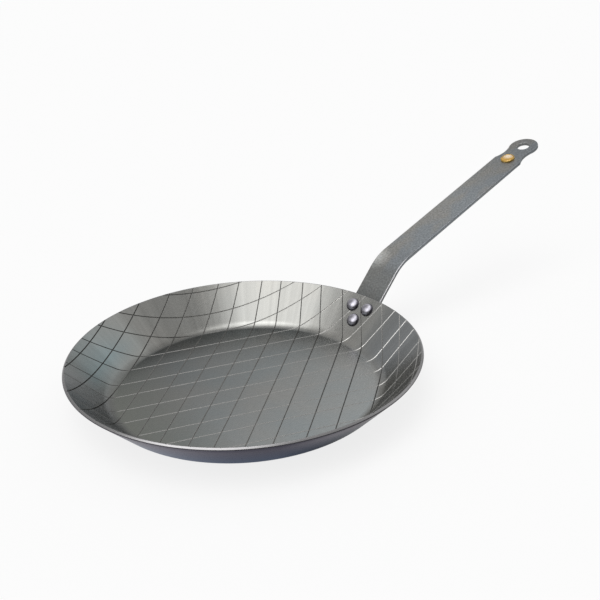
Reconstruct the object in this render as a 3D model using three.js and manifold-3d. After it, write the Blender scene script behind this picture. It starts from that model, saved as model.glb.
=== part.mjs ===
// A riveted steel steak pan: a pressed pan with a scribed grid, and a flat bent handle on three rivets.
// Origin: middle of the underside of the base. +X runs out along the handle, +Z is up. Millimetres.

import * as THREE from 'three';
import { mergeVertices } from 'three/addons/utils/BufferGeometryUtils.js';
import Module from 'manifold-3d';

// Driving dimensions, in millimetres; slopes and directions in degrees

// Pan body: one sheet, pressed from a flat round blank
const rimDiameter = 280;
const sheetThickness = 2.5;
const wallSlope = 45.4; // from horizontal
const wallLength = 37.6; // straight part of the wall, from the bend up to the rim
const bendRadius = 14; // inside of the bend between floor and wall

// Scribed grid: two sets of straight V grooves, in pairs, cut on the flat blank before it is pressed
const grooveWidth = 1;
const pairPitch = 41.1; // from one pair of grooves to the next
const pairGap = 19; // between the two grooves of a pair
const firstSetDirection = -24.4; // from the handle's axis
const firstSetOffset = 31.2; // from the pan's middle to the middle of one pair
const firstSetDepth = 0.25;
const secondSetDirection = 35.4;
const secondSetOffset = 10.2;
const secondSetDepth = 0.5;

// Handle: a flat bar that follows the wall outside the pan and bends flatter above the rim
const handleWidth = 29;
const handleThickness = 3;
const lowerBarLength = 38.4; // from the rim to the corner of the bend, on the upper face
const handleRise = 16.9; // slope of the long grip
const handleBendRadius = 39; // inside of the bend
const eyeDistance = 199.4; // from the corner of the bend to the middle of the hanging eye
const neckDepth = 3.1; // how far the neck draws in on each side
const neckRadius = 24;
const eyeBulge = 2.5; // how far the eye swells past the neck on each side
const hangHoleDiameter = 11.4;
const tabMargin = 8.5; // from the lower rivet to the end of the riveted tab

// Rivets: two side by side below the rim, one under them
const rivetHeadDiameter = 11.6;
const rivetHeadHeight = 3.2;
const rivetBackDiameter = 9.6; // the head formed on the handle's outer face
const rivetBackHeight = 1.8;
const rivetShankDiameter = 5;
const rivetEdgeMargin = 6.1; // from the upper rivets to the handle's long edges
const upperRivetDepth = 10.9; // below the rim, along the wall
const rivetRowGap = 12.8; // from the upper pair down to the single rivet

// Badge: a brass cup on a stem, holding a clear dome
const badgeDiameter = 13;
const badgeCupHeight = 1.3;
const badgeCupWall = 0.8;
const badgeCupFloor = 0.5;
const badgeDomeHeight = 0.8; // above the lip of the cup
const badgeStemDiameter = 4;
const badgeToEye = 25; // between the middles of the badge and the eye

// Clearances
const seatGap = 0.3; // between pieces that are clamped or glued together
const holeClearance = 0.3; // around a shank or stem, on the radius

// Fineness of the round forms
const panSectors = 72;
const bendSteps = 4;
const roundSides = 24;
const arcSteps = 12;
const domeSteps = 3;
const snapDistance = 0.05; // a net corner this close to a cut counts as lying on it
const samePlace = 1e-4; // points closer than this are one point

const wasm = await Module();
wasm.setup();

// Sizes that follow from the driving dimensions
const slope = THREE.MathUtils.degToRad(wallSlope);
const rise = THREE.MathUtils.degToRad(handleRise);
const rimRadius = rimDiameter / 2;
const outerBendRadius = bendRadius + sheetThickness;
const floorRadius = rimRadius - outerBendRadius * Math.sin(slope) - wallLength * Math.cos(slope);
const bendLength = bendRadius * slope;
const bendEnd = floorRadius + bendLength;
const blankRadius = bendEnd + wallLength;
const sectorAngle = (2 * Math.PI) / panSectors;

// Directions in the upright plane of the handle, where x runs outward and y runs up
const upWall = new THREE.Vector2(Math.cos(slope), Math.sin(slope));
const outOfWall = new THREE.Vector2(Math.sin(slope), -Math.cos(slope));
const alongGrip = new THREE.Vector2(Math.cos(rise), Math.sin(rise));
const outOfGrip = new THREE.Vector2(Math.sin(rise), -Math.cos(rise));

// The point reached from start by going a distance along a direction
function pointFrom(start, direction, distance) {
  return start.clone().addScaledVector(direction, distance);
}

// Turns a closed geometry into a solid that can be cut and joined
function solidOf(geometry) {
  const bare = geometry.clone();
  bare.deleteAttribute('normal');
  bare.deleteAttribute('uv');
  const merged = mergeVertices(bare);
  const vertProperties = merged.attributes.position.array;
  const triVerts = Uint32Array.from(merged.index.array);
  return new wasm.Manifold(new wasm.Mesh({ numProp: 3, vertProperties, triVerts }));
}

// Turns a solid back into a geometry
function geometryOf(solid) {
  const { vertProperties, triVerts } = solid.getMesh();
  const geometry = new THREE.BufferGeometry();
  geometry.setAttribute('position', new THREE.BufferAttribute(vertProperties, 3));
  geometry.setIndex(new THREE.BufferAttribute(triVerts, 1));
  geometry.computeVertexNormals();
  return geometry;
}

// A round bar along local Z, between two heights
function roundBar(radius, bottom, top) {
  const bar = new THREE.CylinderGeometry(radius, radius, top - bottom, roundSides);
  bar.rotateX(Math.PI / 2);
  bar.translate(0, 0, (top + bottom) / 2);
  return bar;
}

// A turned piece about local Z; the profile holds radius and height, and runs from bottom to top
function turned(profile) {
  const piece = new THREE.LatheGeometry(profile.getPoints(domeSteps), roundSides);
  piece.rotateX(Math.PI / 2);
  return piece;
}

// Adds a round cap to a turned profile: from its edge to the axis, or the other way when it hangs down
function addDome(profile, radius, edge, height) {
  const size = Math.abs(height);
  const ballRadius = (radius * radius + size * size) / (2 * size);
  const edgeAngle = Math.acos(Math.min(1, radius / ballRadius)) * Math.sign(ballRadius - size);
  if (height > 0) {
    profile.absarc(0, edge + height - ballRadius, ballRadius, edgeAngle, Math.PI / 2, false);
  } else {
    profile.absarc(0, edge + height + ballRadius, ballRadius, -Math.PI / 2, -edgeAngle, false);
  }
}

// Pan body

// A point of the blank on the pressed sheet, at a depth below its inner face. Pressing keeps lengths along
// the radius, so distance from the middle of the blank is distance along floor, bend and wall.
function pressedPoint(distance, azimuth, depth) {
  const angle = THREE.MathUtils.clamp((distance - floorRadius) / bendRadius, 0, slope);
  const flat = Math.min(distance, floorRadius);
  const straight = Math.max(0, distance - bendEnd);
  const arcRadius = bendRadius + depth;
  const arcCentreHeight = sheetThickness + bendRadius;
  const radius = flat + arcRadius * Math.sin(angle) + straight * Math.cos(slope);
  const height = arcCentreHeight - arcRadius * Math.cos(angle) + straight * Math.sin(slope);
  return new THREE.Vector3(radius * Math.cos(azimuth), radius * Math.sin(azimuth), height);
}

// The grooves as straight lines on the blank: a normal, an offset from the middle, and a depth
function grooveLines() {
  const lines = [];
  const pairsEachWay = Math.ceil(blankRadius / pairPitch) + 1;
  const sets = [
    [firstSetDirection, firstSetOffset, firstSetDepth],
    [secondSetDirection, secondSetOffset, secondSetDepth],
  ];
  for (const [direction, setOffset, depth] of sets) {
    const angle = THREE.MathUtils.degToRad(direction);
    const normal = new THREE.Vector2(-Math.sin(angle), Math.cos(angle));
    for (let pair = -pairsEachWay; pair <= pairsEachWay; pair++) {
      for (const side of [-1, 1]) {
        const offset = setOffset + pair * pairPitch + (side * pairGap) / 2;
        if (Math.abs(offset) < blankRadius - grooveWidth) lines.push({ normal, offset, depth });
      }
    }
  }
  return lines;
}

// Corner of the polar net that is laid on the blank
function netCorner(radius, sector) {
  const azimuth = (sector % panSectors) * sectorAngle;
  return new THREE.Vector2(radius * Math.cos(azimuth), radius * Math.sin(azimuth));
}

// Distances of the net's rings from the middle: the edge of the floor, the steps of the bend, the rim
function netRings() {
  const rings = [];
  for (let step = 0; step <= bendSteps; step++) rings.push(floorRadius + (bendLength * step) / bendSteps);
  rings.push(blankRadius);
  return rings;
}

// The net as convex polygons, counter-clockwise: the floor whole, the rest sector by sector
function netCells(rings) {
  const floor = [];
  for (let sector = 0; sector < panSectors; sector++) floor.push(netCorner(rings[0], sector));
  const cells = [floor];
  for (let ring = 1; ring < rings.length; ring++) {
    for (let sector = 0; sector < panSectors; sector++) {
      cells.push([
        netCorner(rings[ring - 1], sector),
        netCorner(rings[ring], sector),
        netCorner(rings[ring], sector + 1),
        netCorner(rings[ring - 1], sector + 1),
      ]);
    }
  }
  return cells;
}

// Where the edge from a to b crosses a line, worked out from the same end for both cells that share the edge
function edgeCrossing(a, b, heightA, heightB) {
  const fromA = a.x < b.x || (a.x === b.x && a.y < b.y);
  if (fromA) return a.clone().lerp(b, heightA / (heightA - heightB));
  return b.clone().lerp(a, heightB / (heightB - heightA));
}

// Cuts a convex polygon along a straight line
function cutPolygon(polygon, normal, offset) {
  const heights = polygon.map((point) => {
    const height = point.dot(normal) - offset;
    return Math.abs(height) < snapDistance ? 0 : height;
  });
  if (heights.every((height) => height >= 0) || heights.every((height) => height <= 0)) return [polygon];
  const above = [];
  const below = [];
  polygon.forEach((point, i) => {
    const next = (i + 1) % polygon.length;
    if (heights[i] >= 0) above.push(point);
    if (heights[i] <= 0) below.push(point);
    if (heights[i] * heights[next] < 0) {
      const crossing = edgeCrossing(point, polygon[next], heights[i], heights[next]);
      above.push(crossing);
      below.push(crossing);
    }
  });
  return [above, below];
}

// Corners of the triangles around one corner of a polygon, the one that leaves the least triangle largest
function fanTriangles(polygon) {
  let best = [];
  let bestLeast = -Infinity;
  for (let apex = 0; apex < polygon.length; apex++) {
    const corners = polygon.map((_, i) => polygon[(apex + i) % polygon.length]);
    const fan = [];
    let least = Infinity;
    for (let i = 1; i + 1 < corners.length; i++) {
      const first = corners[i].clone().sub(corners[0]);
      const second = corners[i + 1].clone().sub(corners[0]);
      least = Math.min(least, first.cross(second));
      fan.push([corners[0], corners[i], corners[i + 1]]);
    }
    if (least > bestLeast) {
      bestLeast = least;
      best = fan;
    }
  }
  return best;
}

// Azimuth of a blank point, from 0 to a full turn
function azimuthOf(point) {
  return (Math.atan2(point.y, point.x) + 2 * Math.PI) % (2 * Math.PI);
}

// Which sector of the net a rim point opens; a point on a corner opens the sector that starts there
function sectorOf(point) {
  return Math.floor(azimuthOf(point) / sectorAngle + samePlace);
}

// Whether a blank point lies on the outermost chords of the net, which stand for the round edge of the blank
function isOnEdge(point) {
  const fromMiddle = (azimuthOf(point) % sectorAngle) - sectorAngle / 2;
  const chordDistance = blankRadius * Math.cos(sectorAngle / 2);
  return point.length() * Math.cos(fromMiddle) > chordDistance - samePlace;
}

const grooves = grooveLines();

// How deep a blank point lies in a groove, or 0 between grooves
function grooveDepthAt(point) {
  const depths = grooves.map(({ normal, offset, depth }) => {
    const fromBottom = Math.abs(point.dot(normal) - offset);
    return depth * (1 - (2 * fromBottom) / grooveWidth);
  });
  return Math.max(0, ...depths);
}

// A blank point on the pan's grooved inner face
function insidePoint(point) {
  const distance = isOnEdge(point) ? blankRadius : point.length();
  return pressedPoint(distance, azimuthOf(point), grooveDepthAt(point));
}

// A point on the pan's plain outer face
function outsidePoint(distance, azimuth) {
  return pressedPoint(distance, azimuth, sheetThickness);
}

// The net, cut along both edges and the bottom of every groove
function scribedCells() {
  let polygons = netCells(netRings());
  for (const { normal, offset } of grooves) {
    for (const side of [-1, 0, 1]) {
      const cutOffset = offset + (side * grooveWidth) / 2;
      polygons = polygons.flatMap((polygon) => cutPolygon(polygon, normal, cutOffset));
    }
  }
  return polygons;
}

// Triangle corners of the cut edge of the sheet, square to the wall, and of the outer wall below it
function rimAndWallCorners(polygons) {
  const corners = [];
  const edgePoints = new Map();
  for (const point of polygons.flat().filter(isOnEdge)) edgePoints.set(`${point.x} ${point.y}`, point);
  const edge = [...edgePoints.values()].sort((a, b) => azimuthOf(a) - azimuthOf(b));
  edge.forEach((point, i) => {
    const next = edge[(i + 1) % edge.length];
    const outerHere = outsidePoint(blankRadius, azimuthOf(point));
    const outerNext = outsidePoint(blankRadius, azimuthOf(next));
    const sector = sectorOf(point);
    const below = outsidePoint(bendEnd, sector * sectorAngle);
    const belowNext = outsidePoint(bendEnd, ((sector + 1) % panSectors) * sectorAngle);
    corners.push(insidePoint(point), outerHere, outerNext);
    corners.push(insidePoint(point), outerNext, insidePoint(next));
    corners.push(outerHere, below, outerNext);
    if (sectorOf(next) !== sector) corners.push(outerNext, below, belowNext);
  });
  return corners;
}

// Triangle corners of the outside of the bend and of the flat underside
function bendAndBaseCorners() {
  const corners = [];
  const rings = netRings();
  for (let sector = 0; sector < panSectors; sector++) {
    const here = sector * sectorAngle;
    const next = ((sector + 1) % panSectors) * sectorAngle;
    for (let ring = bendSteps; ring > 0; ring--) {
      const upper = outsidePoint(rings[ring], here);
      const upperNext = outsidePoint(rings[ring], next);
      const lower = outsidePoint(rings[ring - 1], here);
      const lowerNext = outsidePoint(rings[ring - 1], next);
      corners.push(upper, lower, lowerNext);
      corners.push(upper, lowerNext, upperNext);
    }
    corners.push(new THREE.Vector3(), outsidePoint(floorRadius, next), outsidePoint(floorRadius, here));
  }
  return corners;
}

function makePanGeometry() {
  const polygons = scribedCells();
  const innerCorners = polygons.flatMap(fanTriangles).flat().map(insidePoint);
  const corners = [...innerCorners, ...rimAndWallCorners(polygons), ...bendAndBaseCorners()];
  let pan = solidOf(new THREE.BufferGeometry().setFromPoints(corners));
  for (const hole of rivetHoleSolids()) pan = pan.subtract(hole);
  return geometryOf(pan);
}

// Rivet places

const rimInner = pressedPoint(blankRadius, 0, 0);
const rimOuter = pressedPoint(blankRadius, 0, sheetThickness);
const rivetHalfSpacing = handleWidth / 2 - rivetEdgeMargin;
const lowerRivetDepth = upperRivetDepth + rivetRowGap;
const tabLength = lowerRivetDepth + tabMargin;

// The handle's upper face starts here, at the rim, one gap out from the wall
const handleStart = pointFrom(new THREE.Vector2(rimOuter.x, rimOuter.z), outOfWall, seatGap);
const gripCorner = pointFrom(handleStart, upWall, lowerBarLength);

// A rivet's seat on the inner wall: its place, its turn about the pan's axis, and where its back head starts
// behind wall and handle. The flat handle stands off a little where the round wall falls away.
function rivetSeat(depth, sideways) {
  const radius = rimInner.x - depth * Math.cos(slope);
  const height = rimInner.z - depth * Math.sin(slope);
  const turn = Math.asin(sideways / radius);
  const squareness = Math.sin(slope) ** 2 * Math.cos(turn) + Math.cos(slope) ** 2;
  const backPlane = handleStart.dot(outOfWall) + handleThickness;
  const seatPlane = radius * Math.cos(turn) * Math.sin(slope) - height * Math.cos(slope);
  const gripLength = (backPlane - seatPlane) / squareness;
  const backTilt = (rivetBackDiameter / 2) * Math.tan(Math.acos(Math.min(1, squareness)));
  return { radius, height, turn, backFace: -(gripLength + backTilt + seatGap) };
}

const rivetSeats = {
  rivet_upper_left: rivetSeat(upperRivetDepth, rivetHalfSpacing),
  rivet_upper_right: rivetSeat(upperRivetDepth, -rivetHalfSpacing),
  rivet_lower: rivetSeat(lowerRivetDepth, 0),
};

// Stands an object on a rivet's seat, with its local Z square to the inner wall
function placeOnSeat(object, seat) {
  object.position.set(seat.radius, 0, seat.height);
  object.rotation.y = -slope;
  const around = new THREE.Group();
  around.rotation.z = seat.turn;
  around.add(object);
  around.updateMatrixWorld(true);
  return around;
}

// The holes that the rivets pass through, as solids
function rivetHoleSolids() {
  return Object.values(rivetSeats).map((seat) => {
    const radius = rivetShankDiameter / 2 + holeClearance;
    const hole = new THREE.Mesh(roundBar(radius, seat.backFace - rivetBackHeight, rivetHeadHeight));
    placeOnSeat(hole, seat);
    return solidOf(hole.geometry.clone().applyMatrix4(hole.matrixWorld));
  });
}

function makeRivetGeometry(seat) {
  const profile = new THREE.Path();
  profile.moveTo(0, seat.backFace - rivetBackHeight);
  addDome(profile, rivetBackDiameter / 2, seat.backFace, -rivetBackHeight);
  profile.lineTo(rivetShankDiameter / 2, seat.backFace);
  profile.lineTo(rivetShankDiameter / 2, seatGap);
  profile.lineTo(rivetHeadDiameter / 2, seatGap);
  addDome(profile, rivetHeadDiameter / 2, seatGap, rivetHeadHeight);
  return turned(profile);
}

// Handle

const neckHalfWidth = handleWidth / 2 - neckDepth;
const eyeRadius = neckHalfWidth + eyeBulge;
const neckCentreOffset = neckHalfWidth + neckRadius;
const neckBeforeEye = Math.sqrt((eyeRadius + neckRadius) ** 2 - neckCentreOffset ** 2);
const neckDistance = eyeDistance - neckBeforeEye;
const shoulderBeforeNeck = Math.sqrt(neckRadius ** 2 - (neckRadius - neckDepth) ** 2);
const barLength = tabLength + lowerBarLength + eyeDistance + eyeRadius;
const stockWidth = 2 * Math.max(handleWidth, eyeRadius * 2);

// Bent flat stock, wider than the handle: its side view carried across the width
function handleStock() {
  const topBendRadius = handleBendRadius + handleThickness;
  const tangentLength = topBendRadius * Math.tan((slope - rise) / 2);
  const bendStart = pointFrom(gripCorner, upWall, -tangentLength);
  const bendCentre = pointFrom(bendStart, outOfWall, topBendRadius);
  const tabEnd = pointFrom(handleStart, upWall, -tabLength);
  const gripEnd = pointFrom(gripCorner, alongGrip, eyeDistance + eyeRadius);
  const tabEndBelow = pointFrom(tabEnd, outOfWall, handleThickness);
  const gripEndBelow = pointFrom(gripEnd, outOfGrip, handleThickness);
  const wallNormalAngle = slope + Math.PI / 2;
  const gripNormalAngle = rise + Math.PI / 2;
  const side = new THREE.Shape();
  side.moveTo(tabEndBelow.x, tabEndBelow.y);
  side.absarc(bendCentre.x, bendCentre.y, handleBendRadius, wallNormalAngle, gripNormalAngle, true);
  side.lineTo(gripEndBelow.x, gripEndBelow.y);
  side.lineTo(gripEnd.x, gripEnd.y);
  side.absarc(bendCentre.x, bendCentre.y, topBendRadius, gripNormalAngle, wallNormalAngle, false);
  side.lineTo(tabEnd.x, tabEnd.y);
  const options = { depth: stockWidth, bevelEnabled: false, curveSegments: arcSteps };
  const stock = new THREE.ExtrudeGeometry(side, options);
  stock.rotateX(Math.PI / 2);
  stock.translate(0, stockWidth / 2, 0);
  return solidOf(stock);
}

// A flat outline carried square through the handle, in the plane of one of its two straight lengths
function outlineSolid(outline, start, angle) {
  const depth = 2 * barLength;
  const prism = new THREE.ExtrudeGeometry(outline, { depth, bevelEnabled: false, curveSegments: arcSteps });
  prism.translate(0, 0, -depth / 2);
  prism.rotateY(-angle);
  prism.translate(start.x, 0, start.y);
  return solidOf(prism);
}

// Outline of the grip seen square from above: straight sides, a drawn-in neck and the round hanging eye
function gripOutline() {
  const halfWidth = handleWidth / 2;
  const shoulder = neckDistance - shoulderBeforeNeck;
  const shoulderAngle = Math.atan2(neckRadius - neckDepth, -shoulderBeforeNeck);
  const eyeAngle = Math.atan2(neckCentreOffset, neckBeforeEye);
  const outline = new THREE.Shape();
  outline.moveTo(-barLength, -halfWidth);
  outline.lineTo(shoulder, -halfWidth);
  outline.absarc(neckDistance, -neckCentreOffset, neckRadius, shoulderAngle, eyeAngle, true);
  outline.absarc(eyeDistance, 0, eyeRadius, eyeAngle - Math.PI, Math.PI - eyeAngle, false);
  outline.absarc(neckDistance, neckCentreOffset, neckRadius, -eyeAngle, -shoulderAngle, true);
  outline.lineTo(-barLength, halfWidth);
  return outline;
}

// Outline of the tab seen square to the wall: a round end, and wide everywhere else
function tabOutline() {
  const roundCentre = handleWidth / 2 - tabLength;
  const outline = new THREE.Shape();
  outline.absarc(roundCentre, 0, handleWidth / 2, Math.PI / 2, (3 * Math.PI) / 2, false);
  outline.lineTo(barLength, -handleWidth / 2);
  outline.lineTo(barLength, handleWidth / 2);
  return outline;
}

// Stands an object on the grip's upper face, at a distance from the bend, with its local Z square to it
function placeOnGrip(object, distance) {
  const place = pointFrom(gripCorner, alongGrip, distance);
  object.position.set(place.x, 0, place.y);
  object.rotation.y = -rise;
  object.updateMatrixWorld(true);
  return object;
}

// A round hole square through the grip
function gripHoleSolid(diameter, distance) {
  const bar = roundBar(diameter / 2, -2 * handleThickness, handleThickness);
  const hole = placeOnGrip(new THREE.Mesh(bar), distance);
  return solidOf(hole.geometry.clone().applyMatrix4(hole.matrixWorld));
}

const badgeDistance = eyeDistance - badgeToEye;

function makeHandleGeometry() {
  let handle = handleStock();
  handle = handle.intersect(outlineSolid(gripOutline(), gripCorner, rise));
  handle = handle.intersect(outlineSolid(tabOutline(), handleStart, slope));
  handle = handle.subtract(gripHoleSolid(hangHoleDiameter, eyeDistance));
  handle = handle.subtract(gripHoleSolid(badgeStemDiameter + 2 * holeClearance, badgeDistance));
  for (const hole of rivetHoleSolids()) handle = handle.subtract(hole);
  return geometryOf(handle);
}

// Badge

const badgeFloor = seatGap + badgeCupFloor;
const badgeLip = seatGap + badgeCupHeight;
const badgeBore = badgeDiameter / 2 - badgeCupWall;

function makeBadgeCupGeometry() {
  const profile = new THREE.Path();
  profile.moveTo(0, -handleThickness);
  profile.lineTo(badgeStemDiameter / 2, -handleThickness);
  profile.lineTo(badgeStemDiameter / 2, seatGap);
  profile.lineTo(badgeDiameter / 2, seatGap);
  profile.lineTo(badgeDiameter / 2, badgeLip);
  profile.lineTo(badgeBore, badgeLip);
  profile.lineTo(badgeBore, badgeFloor);
  profile.lineTo(0, badgeFloor);
  return turned(profile);
}

function makeBadgeDomeGeometry() {
  const radius = badgeBore - holeClearance;
  const profile = new THREE.Path();
  profile.moveTo(0, badgeFloor + seatGap);
  profile.lineTo(radius, badgeFloor + seatGap);
  profile.lineTo(radius, badgeLip);
  addDome(profile, radius, badgeLip, badgeDomeHeight);
  return turned(profile);
}

// Materials

const panSteel = new THREE.MeshStandardMaterial({ color: 0x8c8d88, roughness: 0.42, metalness: 0.95 });
const handleSteel = new THREE.MeshStandardMaterial({ color: 0x66686b, roughness: 0.55, metalness: 0.9 });
const rivetSteel = new THREE.MeshStandardMaterial({ color: 0xb9b9c2, roughness: 0.25, metalness: 1 });
const badgeBrass = new THREE.MeshStandardMaterial({ color: 0xb8862b, roughness: 0.3, metalness: 1 });
const badgeResin = new THREE.MeshStandardMaterial({ color: 0xe39a1f, roughness: 0.15, metalness: 0 });

// Assembly

const pan = new THREE.Group();

function namedPiece(name, geometry, material) {
  const piece = new THREE.Mesh(geometry, material);
  piece.name = name;
  return piece;
}

pan.add(namedPiece('pan_body', makePanGeometry(), panSteel));
pan.add(namedPiece('handle', makeHandleGeometry(), handleSteel));
for (const [name, seat] of Object.entries(rivetSeats)) {
  pan.add(placeOnSeat(namedPiece(name, makeRivetGeometry(seat), rivetSteel), seat));
}
pan.add(placeOnGrip(namedPiece('badge_cup', makeBadgeCupGeometry(), badgeBrass), badgeDistance));
pan.add(placeOnGrip(namedPiece('badge_dome', makeBadgeDomeGeometry(), badgeResin), badgeDistance));

export default pan;
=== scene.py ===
"""Looks of a riveted steel steak pan: grooved pressed pan, flat bent handle, rivets and a small badge."""
import math

import bpy
from mathutils import Matrix, Vector


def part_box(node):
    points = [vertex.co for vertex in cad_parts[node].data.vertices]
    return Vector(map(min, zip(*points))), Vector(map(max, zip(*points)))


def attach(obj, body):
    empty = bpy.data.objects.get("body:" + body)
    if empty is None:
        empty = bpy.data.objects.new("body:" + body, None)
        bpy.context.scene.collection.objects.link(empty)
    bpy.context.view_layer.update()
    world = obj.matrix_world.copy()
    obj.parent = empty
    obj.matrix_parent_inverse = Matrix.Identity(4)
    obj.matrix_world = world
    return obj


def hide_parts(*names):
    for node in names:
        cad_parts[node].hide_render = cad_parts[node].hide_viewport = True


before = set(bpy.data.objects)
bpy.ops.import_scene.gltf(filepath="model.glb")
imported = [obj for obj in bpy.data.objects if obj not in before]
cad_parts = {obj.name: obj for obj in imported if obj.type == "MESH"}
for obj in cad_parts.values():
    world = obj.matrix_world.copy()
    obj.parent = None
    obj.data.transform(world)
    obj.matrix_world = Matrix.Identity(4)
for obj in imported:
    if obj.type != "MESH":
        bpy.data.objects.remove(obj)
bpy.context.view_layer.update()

MM = 0.001

# Sizes of the pan body, as the construction has them
RIM_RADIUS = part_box("pan_body")[1].y
SHEET = 2.5 * MM
WALL_SLOPE = math.radians(45.4)
WALL_LENGTH = 37.6 * MM
BEND_RADIUS = 14 * MM
RIM_ROUND = 0.7 * MM
FLOOR_RADIUS = (
    RIM_RADIUS - (BEND_RADIUS + SHEET) * math.sin(WALL_SLOPE) - WALL_LENGTH * math.cos(WALL_SLOPE)
)
BEND_LENGTH = BEND_RADIUS * WALL_SLOPE
BEND_END = FLOOR_RADIUS + BEND_LENGTH
BLANK_RADIUS = BEND_END + WALL_LENGTH
EDGE_DISTANCE = BLANK_RADIUS - RIM_ROUND

# Scribed grid: direction from the handle's axis, offset of one pair of grooves from the middle, and depth
GROOVE_SETS = (
    (math.radians(-24.4), 31.2 * MM, 0.25 * MM),
    (math.radians(35.4), 10.2 * MM, 0.5 * MM),
)
PAIR_PITCH = 41.1 * MM
PAIR_GAP = 19 * MM
GROOVE_HALF = 0.5 * MM
# Shares of the half width where the rounded shoulder ends and the rounded bottom starts
GROOVE_SHOULDER = 0.82
GROOVE_BOTTOM = 0.12
GROOVE_CUTS = (-1, -GROOVE_SHOULDER, -GROOVE_BOTTOM, GROOVE_BOTTOM, GROOVE_SHOULDER, 1)
GROOVE_STEEPNESS = 1 / ((1 + GROOVE_SHOULDER) / 2 - GROOVE_BOTTOM)

# Blued patch on the left wall: its middle on the blank, and its reach
BLUED_CENTRE = (-74 * MM, 97 * MM)
BLUED_SIZE = 66 * MM

WARM_GREY = (1, 0.985, 0.955)

# Directions on the flat stock in which a tone changes, in degrees from the handle's axis; on the pan all
# but the cool wall are painted light and shade
BRIGHT_FLOOR = -63
FAR_FLOOR = 35
SHADED_FLOOR = 165
COOL_WALL = -30
SHADED_WALL = 170
PAINTED_LIGHT_WALL = 110
BRIGHT_BEND = 42
DARK_BEND = 85
BRIGHT_GROOVES = -35
LIGHT_OUTSIDE = 150
TO_EYE = 0
TO_LEFT = 90
TO_RIGHT = -90

# Fineness of the meshes
SECTORS = 192
BEND_STEPS = 10
ROUND_STEPS = 4
BAR_BEND_STEPS = 16
TAB_STEPS = 24
NECK_STEPS = 24
EYE_STEPS = 40
HOLE_STEPS = 48
TURNED_SIDES = 64
DOME_STEPS = 16
LIP_STEPS = 10
# Corners this close to a cut lie on it, and places this close are the same
SNAP = 0.03 * MM
SAME_PLACE = 1e-7

# Sizes of the handle
HANDLE_WIDTH = 29 * MM
HANDLE_THICKNESS = 3 * MM
HANDLE_EDGE = 0.7 * MM
LOWER_BAR = 38.4 * MM
GRIP_RISE = math.radians(16.9)
HANDLE_BEND = 39 * MM
EYE_DISTANCE = 199.4 * MM
NECK_DEPTH = 3.1 * MM
NECK_RADIUS = 24 * MM
EYE_BULGE = 2.5 * MM
HANG_HOLE = 11.4 * MM
TAB_MARGIN = 8.5 * MM
SEAT_GAP = 0.3 * MM

# Sizes of the rivets
RIVET_HEAD = 11.6 * MM
RIVET_HEIGHT = 3.2 * MM
RIVET_BACK = 9.6 * MM
RIVET_BACK_HEIGHT = 1.8 * MM
RIVET_SHANK = 5 * MM
RIVET_EDGE_MARGIN = 6.1 * MM
UPPER_RIVET_DEPTH = 10.9 * MM
RIVET_ROW_GAP = 12.8 * MM
RIVET_SPREAD = HANDLE_WIDTH / 2 - RIVET_EDGE_MARGIN
# Middle of the painted highlight on a head: up the wall, and to the left, from the rivet's axis
HIGHLIGHT_SPOT = (-1.8 * MM, -1.4 * MM)

# Sizes of the badge
BADGE = 13 * MM
BADGE_LIP = 1.6 * MM
BADGE_FLOOR = 0.8 * MM
BADGE_WALL = 0.8 * MM
BADGE_DOME = 0.8 * MM
BADGE_STEM = 4 * MM
BADGE_STEM_HOLE = 4.6 * MM
BADGE_TO_EYE = 25 * MM
BADGE_CLEARANCE = 0.3 * MM
# Middle of the pale spot in the resin: towards the eye, and to the left, from the badge's axis
PALE_SPOT = (0.19 * BADGE, 0.06 * BADGE)

# Viewpoint, read from the photograph: angles in degrees, and where the part's origin stands in the picture
VIEW_AZIMUTH = -41.85
VIEW_ELEVATION = 24.37
VIEW_ROLL = 2.78
PICTURE_SIZE = 600
FOCAL_PIXELS = 1028
ORIGIN_PIXEL = (246.4, 388.3)
ORIGIN_DEPTH = 0.816
SENSOR_WIDTH = 36

# Studio light: soft round panels in a dim room. Each has its turn from the camera, positive to the camera's
# right, its elevation, the angles from its middle where it starts to fade and has faded out, and its colour
ROOM_LEVEL = 0.07
LIGHT_PANELS = (
    (-38.5, 61, 0, 37.5, (1.82, 1.82, 1.82)),
    (-128, 82, 12, 22, (1.2, 1.2, 1.2)),
    (180, 61, 61, 78, (0.48, 0.48, 0.48)),
    (-62, 36, 4, 20, (0.8, 0.8, 0.8)),
    (124, 33, 0, 32, (0.28, 0.28, 0.28)),
)


def direction_from(azimuth, elevation):
    """Unit vector from the object towards a place at these angles, in degrees; azimuth 0 is the -Y side."""
    a = math.radians(azimuth)
    e = math.radians(elevation)
    return Vector((math.sin(a) * math.cos(e), -math.cos(a) * math.cos(e), math.sin(e)))


def add_camera():
    """Camera at the photograph's place: the origin lands on its own pixel at its own depth."""
    back = direction_from(VIEW_AZIMUTH, VIEW_ELEVATION)
    level_right = direction_from(VIEW_AZIMUTH + 90, 0)
    level_up = back.cross(level_right)
    roll = math.radians(VIEW_ROLL)
    right = level_right * math.cos(roll) - level_up * math.sin(roll)
    up = level_up * math.cos(roll) + level_right * math.sin(roll)
    across = (ORIGIN_PIXEL[0] - PICTURE_SIZE / 2) / FOCAL_PIXELS * ORIGIN_DEPTH
    down = (ORIGIN_PIXEL[1] - PICTURE_SIZE / 2) / FOCAL_PIXELS * ORIGIN_DEPTH
    place = back * ORIGIN_DEPTH - right * across + up * down
    data = bpy.data.cameras.new("photo_camera")
    data.sensor_width = SENSOR_WIDTH
    data.lens = SENSOR_WIDTH * FOCAL_PIXELS / PICTURE_SIZE
    camera = bpy.data.objects.new("photo_camera", data)
    turn = Matrix((right, up, back)).transposed().to_4x4()
    camera.matrix_world = Matrix.Translation(place) @ turn
    bpy.context.scene.collection.objects.link(camera)
    bpy.context.scene.camera = camera


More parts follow.
